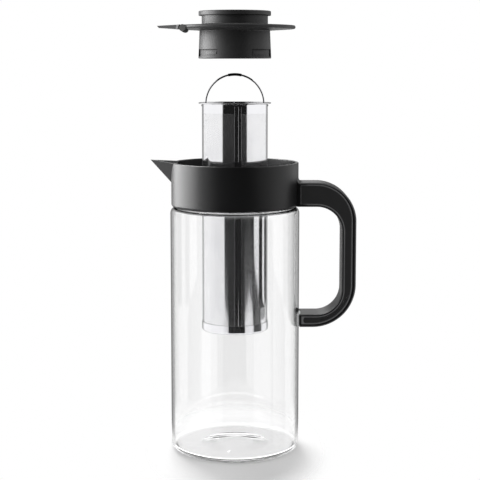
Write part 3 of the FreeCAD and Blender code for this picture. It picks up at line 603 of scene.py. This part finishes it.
def handle_body():
    """D handle as rings of rails along its length: the outer face, a rounded edge, the side with the
    panel's recess behind a soft lip, a rounded edge and the face towards the fingers. The top
    flares into the collar along an arc, and the foot's rim is rounded."""
    bend = np.radians([0, 15, 30, 45, 60, 75, 90])
    slope = np.radians([0, 30, 60, 90])
    lip_depth = lip * (1 - np.cos(slope))
    lip_inset = lip * (1 - np.sin(slope))
    floor_inset = np.array([0.02, 0.3, 0.8, 1.5, 2.2]) * MM

    def half_section(border, edge):
        """Rails from the middle of a face to the middle of the recess: y, border, depth, the distance
        inside the recess, or a negative one for rails outside it, and the strength of a painted highlight."""
        flat = np.array([0, 4, 8, 10.2]) * MM
        face = [(y, 0 * border, 0, -1, 0) for y in flat]
        # Painted highlight on the rounded edge, strongest half way round it.
        rim = [(handle_half - edge + edge * math.sin(b), 0 * border + edge * (1 - math.cos(b)), 0, -1,
                0.6 * math.sin(2 * b) ** 2) for b in bend]
        hold = [(handle_half, border - lip - 0.25 * MM, 0, -1, 0)]
        # Painted highlight along the recess's lip and over its floor.
        fall = [(handle_half, border - inset, depth, 0, 1) for inset, depth in zip(lip_inset, lip_depth)]
        floor = [(handle_half, border + inset, panel_depth, inset, 1) for inset in floor_inset]
        return face + rim + hold + fall + floor

    outer = half_section(panel_border, handle_edge)
    inner = half_section(np.float64(panel_gap_border), gap_edge)
    near_root = np.array([0, 0.15, 0.4, 0.8, 1.3, 1.8]) * MM
    recess_root = panel_root - root_x(handle_half)
    root_run = np.concatenate([near_root, recess_root - lip_inset,
                               [recess_root + floor_inset[0], 3.2 * MM, 4.2 * MM]])
    root_depth = np.concatenate([0 * near_root, lip_depth, [panel_depth] * 3])
    recess_foot = panel_foot - foot_x(handle_half)
    near_foot = np.array([2.2, 1.2, 0.6, 0.4, 0.27, 0.13, 0.05, 0]) * MM
    foot_run = np.concatenate([[recess_foot + floor_inset[0]], recess_foot - lip_inset[::-1], near_foot])
    foot_depth = np.concatenate([[panel_depth], lip_depth[::-1], 0 * near_foot])
    round_foot = np.clip(foot_edge - foot_run, 0, foot_edge)
    round_foot = foot_edge - np.sqrt(foot_edge ** 2 - round_foot ** 2)
    rails = []
    painted_highlight = []
    for section, is_outer in ((outer, True), (inner, False)):
        for y, border, depth, inside, highlight_level in section:
            arm = np.concatenate([root_x(y) + root_run, far_arm])
            held = corner_run(inside) * (foot_depth > 0) if inside >= 0 else 0
            low = np.concatenate([far_low, foot_x(y) + foot_run + held])
            line = handle_line(border, arm, low)
            sink = np.full(len(line), panel_depth)
            sink[:len(root_depth)] = root_depth
            sink[len(line) - len(foot_depth):] = foot_depth
            across = y - np.minimum(sink, depth) if depth > 0 or inside >= 0 else np.full(len(line), y)
            tail = len(line) - len(round_foot)
            line[tail:, 1] += round_foot if is_outer else -round_foot
            across[tail:] = np.minimum(across[tail:], handle_half - round_foot)
            if is_outer and inside < 0:
                rise = np.clip(handle_flare - root_run, 0, handle_flare)
                line[:len(root_run), 1] += handle_flare - np.sqrt(handle_flare ** 2 - rise ** 2)
            rails.append(np.stack([line[:, 0], across, line[:, 1]], 1))
            station = np.arange(len(line))
            bare = (station < len(root_run)) | (station > len(line) - len(near_foot))
            painted_highlight.append(np.where(bare & (inside >= 0), 0, highlight_level))
    count = len(outer)
    right = rails[:count] + rails[count:][::-1]
    left = [rail * (1, -1, 1) for rail in right[1:-1][::-1]]
    painted_highlight = painted_highlight[:count] + painted_highlight[count:][::-1]
    painted_highlight = np.stack(painted_highlight + painted_highlight[1:-1][::-1], 1)
    rings = np.stack(right + left, 1)
    total = len(right + left)
    near_side = list(range(count))
    far_side = [2 * count - 1 - k for k in range(count)]
    mirror = [(total - k) % total for k in range(count)]
    mirror_far = [(total - k) % total for k in far_side]
    upper = np.array(mirror[::-1] + near_side[1:])
    lower = np.array(mirror_far[::-1] + far_side[1:])
    return *closed_sweep(rings, upper, lower, outward=False), painted_highlight.ravel()


def handle_panel(side):
    """Panel let into one side of the handle, side -1 or 1: a slightly crowned face, rounded down at its
    border along a quarter of a circle, over a flat back."""
    gap = 0.05 * MM
    fall = 0.25 * MM
    crown = 0.12 * MM
    step = np.array([0, 0.04, 0.1, 0.18, 0.25, 0.5, 1.1, 2.15]) * MM
    floor = handle_half - panel_depth
    back = floor + 0.01 * MM
    root_inside = np.concatenate([step[:-1], [4.0 * MM, 7.0 * MM]])
    foot_inside = step[:-1][::-1]
    root_run = panel_root + gap + root_inside
    foot_run = panel_foot + gap + foot_inside
    rails = []
    painted_highlight = []
    for border, insets in ((panel_border, step), (np.float64(panel_gap_border), step[::-1])):
        for inset in insets:
            low = np.concatenate([far_low, foot_run + corner_run(inset)])
            line = handle_line(border + gap + inset, root_run, low)
            inside = np.full(len(line), step[-1])
            inside[:len(root_run)] = root_inside
            inside[len(line) - len(foot_run):] = foot_inside
            inside = np.minimum(inside, inset)
            # Painted highlight along the panel's rounded-down border.
            painted_highlight.append(np.clip(1.6 - inside / fall, 0, 1))
            inside = np.clip(inside, 0, fall)
            drop = fall - np.sqrt(fall ** 2 - (fall - inside) ** 2)
            bulge = crown * (1 - np.clip(inset / step[-1], 0, 1)) ** 2
            rails.append(np.stack([line[:, 0], floor + panel_thickness - drop - bulge, line[:, 1]], 1))
    count = len(rails)
    under = [np.stack([rail[:, 0], np.full(len(rail), back), rail[:, 2]], 1) for rail in rails]
    rings = np.stack(rails + under[::-1], 1)
    painted_highlight = np.stack(painted_highlight + painted_highlight[::-1], 1)
    top = np.arange(count)
    return *closed_sweep(rings * (1, side, 1), top, 2 * count - 1 - top, outward=side < 0), painted_highlight.ravel()


points, faces, painted_highlight = handle_body()
make_piece("handle", points, faces, finish["black_plastic"], "black_plastic", "jug", ["handle_body"],
           painted_highlight=painted_highlight)
for label, side in (("left", -1), ("right", 1)):
    points, faces, painted_highlight = handle_panel(side)
    make_piece("handle_panel_" + label, points, faces, finish["inlay_plastic"], "inlay_plastic", "jug",
               ["handle_inlay_" + label], painted_highlight=painted_highlight)


# ------------------------------------------------------------------ filter
def filter_sheet():
    """Rolled sheet as a closed ring in section. Its UV begins under the seam strip, whose middle is
    seam_turn degrees from the front."""
    low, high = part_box("filter_tube")
    outside = high.x
    inside = outside - 0.4 * MM
    hold = 0.03 * MM
    seam_turn = 5.5
    rows = np.concatenate([[low.z, low.z + hold], np.linspace(low.z, high.z, 24)[1:-1],
                           [high.z - hold, high.z]])
    up = np.stack([np.full(len(rows), outside), rows], 1)
    down = np.stack([np.full(len(rows), inside), rows[::-1]], 1)
    return turned_ring(np.concatenate([up, down]), around=304, start=math.radians(seam_turn - 90))


def seam_strip():
    """Strip over the sheet's joint. Across, it is an arc with rounded edges and a low weld bead, a bell
    curve, beside its middle; along, its two ends fall off a little."""
    low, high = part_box("filter_seam_strip")
    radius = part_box("filter_tube")[1].x
    middle = math.asin((low.x + high.x) / 2 / radius)
    half = math.asin((high.x - low.x) / 2 / radius)
    stand = 0.2 * MM
    back = radius - 0.1 * MM
    v = np.linspace(-1, 1, 101)
    edge = np.sqrt(1 - np.clip((np.abs(v) - 0.98) / 0.02, 0, 1) ** 2)
    bead = np.exp(-((v - 0.08) / 0.06) ** 2)
    height = stand * (0.68 * edge + 0.3 * bead)
    r = np.concatenate([radius + height, [back] * 2])
    a = middle + half * np.concatenate([v, [1, -1]]) * 0.999
    end = np.array([0, 0.05, 0.15, 0.2]) * MM
    z = np.concatenate([low.z + end, high.z - end[::-1]])
    fall = np.array([0.08, 0.03, 0, 0, 0, 0, 0.03, 0.08]) * MM
    r = np.maximum(r[None] - fall[:, None], back)
    rings = np.stack([r * np.sin(a), -r * np.cos(a), z[:, None] + 0 * r], -1)
    count = len(v)
    upper = np.arange(count)
    lower = np.where(upper < count // 2, count + 1, count)
    return closed_sweep(rings, upper, lower)


points, faces, uv = filter_sheet()
make_piece("filter_sheet", points, faces, finish["mesh_steel"], "mesh_steel", "basket", ["filter_tube"], uv)
make_piece("filter_seam", *seam_strip(), finish["polished_steel"], "mesh_steel", "basket",
           ["filter_seam_strip"])


# ------------------------------------------------------------------ camera, light and floor
def look_camera():
    """Long lens in front of the jug, a little above the collar and turned down a little."""
    look_down = 6.58
    camera = bpy.data.objects.new("camera", bpy.data.cameras.new("camera"))
    camera.data.lens = 93.34
    camera.data.sensor_width = 36.0
    camera.data.shift_y = -0.065
    camera.location = (0.0038, -0.92, 0.287)
    camera.rotation_euler = (math.radians(90 - look_down), 0, 0)
    bpy.context.scene.collection.objects.link(camera)
    bpy.context.scene.camera = camera


def softbox(name, receivers, place, target, width, height, level):
    """Area lamp of a given brightness, turned towards a target. receivers, a collection, says which
    objects are lit by it or stand behind its flag."""
    lamp = bpy.data.lights.new(name, "AREA")
    lamp.shape = "RECTANGLE"
    lamp.size = width
    lamp.size_y = height
    lamp.energy = level * math.pi * width * height
    holder = bpy.data.objects.new(name, lamp)
    holder.location = place
    way = np.array(target) - np.array(place)
    yaw = math.atan2(way[1], way[0]) - math.pi / 2
    pitch = math.atan2(way[2], math.hypot(way[0], way[1]))
    holder.rotation_euler = (math.pi / 2 + pitch, 0, yaw)
    bpy.context.scene.collection.objects.link(holder)
    holder.light_linking.receiver_collection = receivers


def lit_objects(label, names, state):
    """A collection for a lamp's receivers: only these objects are lit (INCLUDE) or all but these
    (EXCLUDE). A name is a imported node's or an object's."""
    group = bpy.data.collections.new(label)
    for name in names:
        group.objects.link(nodes[name] if name in nodes else bpy.data.objects[name])
    for entry in group.collection_objects:
        entry.light_linking.link_state = state
    return group


def studio_world():
    """White all round: strength 1 for the camera, 0.5 for soft light. Mirrors and glass see more of the
    studio. The bearing is 0 in front, at -Y, and grows towards +X; the dip is the sine of the angle
    below the horizon.

    Mirrored light sees an unlit gap in front. In air the gap is wider to the right low down; behind
    glass it moves to the right low down, is parted there by a light wedge and has a dark stand beside
    it. Mirrored light also sees brighter flanks, and behind the jug a wide grey edge each side of the
    white backdrop and a grey skyline. Light that was only bent by glass sees narrower grey edges,
    through few walls alone, and a dim ceiling. Light that was mirrored twice is dimmed."""
    world = bpy.data.worlds.new("studio")
    bpy.context.scene.world = world
    world.use_nodes = True
    tree = world.node_tree
    background = tree.nodes["Background"]
    way = add(tree, "ShaderNodeTexCoord").outputs["Generated"]
    across, depth, up = add(tree, "ShaderNodeSeparateXYZ", Vector=way).outputs
    bearing = maths(tree, "ARCTAN2", across, maths(tree, "MULTIPLY", depth, -1.0))
    dip = maths(tree, "MULTIPLY", up, -1.0)
    wobble = maths(tree, "MULTIPLY_ADD", noise(tree, way, scale=9.0), 0.12, -0.06)
    wobbled = maths(tree, "ADD", bearing, wobble)

    def facing(value, low, high, soft):
        """1 where a bearing lies between two angles in degrees."""
        return within(tree, value, math.radians(low), math.radians(high), soft)

    def turning(start, stop, low, high):
        """An angle that goes from low to high, in degrees, as the dip goes from start to stop."""
        return smooth_step(tree, dip, start, stop, math.radians(low), math.radians(high))

    def times(a, b):
        """Product of two values."""
        return maths(tree, "MULTIPLY", a, b)

    gap_in_air = within(tree, bearing, math.radians(-43), turning(0.09, 0.12, 43, 72), 0.02)
    gap_in_glass = within(tree, wobbled, turning(0.185, 0.21, -36, -22), turning(0.15, 0.205, 71, 106), 0.035)
    wedge_middle = math.radians(52)
    wedge_half = smooth_step(tree, dip, 0.172, 0.205, -0.06, math.radians(17))
    wedge = within(tree, wobbled, maths(tree, "SUBTRACT", wedge_middle, wedge_half),
                   maths(tree, "ADD", wedge_middle, wedge_half), 0.03)
    gap_in_glass = times(gap_in_glass, maths(tree, "SUBTRACT", 1.0, wedge))
    stand = maths(tree, "MAXIMUM", facing(wobbled, 97, 111, 0.02), facing(bearing, 126, 146, 0.03))
    stand = times(stand, smooth_step(tree, dip, 0.188, 0.194, 0.95, 0.0))
    gap_in_glass = maths(tree, "MAXIMUM", gap_in_glass, stand)
    gap_in_glass = times(gap_in_glass, within(tree, dip, -0.1, 0.3, 0.05))

    path = add(tree, "ShaderNodeLightPath").outputs
    through = maths(tree, "GREATER_THAN", path["Transmission Depth"], 0.5)
    behind_glass = times(through, path["Is Transmission Ray"])
    few_walls = maths(tree, "LESS_THAN", path["Transmission Depth"], 3.5)
    off_mirror = maths(tree, "GREATER_THAN", path["Glossy Depth"], 0.5)
    twice = maths(tree, "GREATER_THAN", path["Glossy Depth"], 1.5)

    from_front = maths(tree, "ABSOLUTE", bearing)
    sides = mix_value(tree, off_mirror, times(facing(from_front, 145, 160, 0.03), few_walls),
                      facing(from_front, 140, 172, 0.03))
    skyline = times(within(tree, dip, -0.12, -0.004, 0.004),
                    smooth_step(tree, from_front, math.radians(120), math.radians(135)))
    sides = maths(tree, "MAXIMUM", sides, times(skyline, off_mirror))
    flank = times(off_mirror, mix_value(tree, behind_glass, 0.26, 0.42))
    flank = times(flank, smooth_step(tree, from_front, math.radians(150), math.radians(165), 1.0, 0.0))
    seen = maths(tree, "MULTIPLY_ADD", sides, -0.75, maths(tree, "ADD", 1.0, flank))
    ceiling = smooth_step(tree, dip, -0.8, -0.5, 0.35, 1.0)
    seen = times(seen, mix_value(tree, off_mirror, ceiling, 1.0))
    gap = mix_value(tree, behind_glass, gap_in_air, gap_in_glass)
    seen = times(seen, maths(tree, "MULTIPLY_ADD", gap, times(off_mirror, -0.99), 1.0))
    seen = times(seen, maths(tree, "MULTIPLY_ADD", twice, -0.8, 1.0))
    strength = mix_value(tree, in_glass(tree), 0.5, seen)
    strength = mix_value(tree, path["Is Camera Ray"], strength, 1.0)
    tree.links.new(strength, background.inputs["Strength"])
    background.inputs["Color"].default_value = (1, 1, 1, 1)


def paper_floor():
    """Round white sheet under the jug that fades into the white at its rim and keeps the shadow. Seen
    in mirrors and through glass, it glows under the jug and in a band in front of the glass."""
    radius = 0.6
    corners = 128
    below_foot = 0.2 * MM
    a = np.linspace(0, 2 * np.pi, corners, endpoint=False)
    points = np.stack([radius * np.cos(a), radius * np.sin(a), 0 * a - below_foot], 1)
    mesh = bpy.data.meshes.new("floor")
    mesh.from_pydata(points.tolist(), [], [list(range(corners))])
    floor = bpy.data.objects.new("floor", mesh)
    bpy.context.scene.collection.objects.link(floor)
    material, tree, shader = new_material("white paper", Base_Color=(0.88, 0.88, 0.88, 1), Roughness=1.0,
                                          Specular_IOR_Level=0.0)
    place = add(tree, "ShaderNodeTexCoord").outputs["Object"]
    from_middle = length(tree, vector_maths(tree, "MULTIPLY", place, (1.75, 1.0, 1.0)))
    far = smooth_step(tree, from_middle, 0.08, 0.135)
    from_axis = length(tree, place)
    depth = add(tree, "ShaderNodeSeparateXYZ", Vector=place).outputs[1]
    front = smooth_step(tree, depth, -0.01, 0.0, 1.7, 0.0)
    glow = maths(tree, "MULTIPLY_ADD", front, within(tree, from_axis, 0.045, 0.057, 0.001),
                 smooth_step(tree, from_axis, 0.044, 0.058, 0.45, 0.04))
    extra = maths(tree, "MULTIPLY", in_glass(tree), glow)
    shader.inputs["Emission Color"].default_value = (1, 1, 1, 1)
    tree.links.new(maths(tree, "ADD", extra, 0.16), shader.inputs["Emission Strength"])
    clear = add(tree, "ShaderNodeBsdfTransparent")
    mixed = add(tree, "ShaderNodeMixShader", i0=far, i1=shader.outputs[0], i2=clear.outputs[0])
    tree.links.new(mixed.outputs[0], tree.nodes["Material Output"].inputs["Surface"])
    mesh.materials.append(material)


look_camera()
studio_world()
paper_floor()
middle = (0.0, 0.0, 0.17)
lid_parts = [*LID_MOULDINGS, "flap_hinge_pin"]
bright_parts = ["carafe_body", "filter_sheet", "filter_seam", "floor", "basket_rim", "basket_bottom_cup",
                "bail_wire"]
all_but_bright = lit_objects("behind the flag", bright_parts + lid_parts, "EXCLUDE")
below_rim = lit_objects("below the rim", lid_parts + ["basket_rim", "bail_wire"], "EXCLUDE")
lid_alone = lit_objects("lid alone", lid_parts, "INCLUDE")
softbox("left softbox", all_but_bright, (-0.88, 0.03, 0.4), middle, width=0.65, height=0.95, level=9.0)
softbox("left rear softbox", all_but_bright, (-0.76, 0.47, 0.4), middle, width=0.45, height=0.95, level=7.5)
softbox("lid softbox", lid_alone, (-0.9, 0.1, 0.45), (0, 0, 0.3), width=0.9, height=0.8, level=11.5)
softbox("back top softbox", below_rim, (-0.25, 0.75, 0.95), (0, 0, 0.05), width=0.5, height=0.4, level=19.0)

scene = bpy.context.scene
scene.view_settings.view_transform = "Standard"
scene.cycles.max_bounces = 24
scene.cycles.transmission_bounces = 20
scene.cycles.transparent_max_bounces = 16
scene.cycles.glossy_bounces = 8
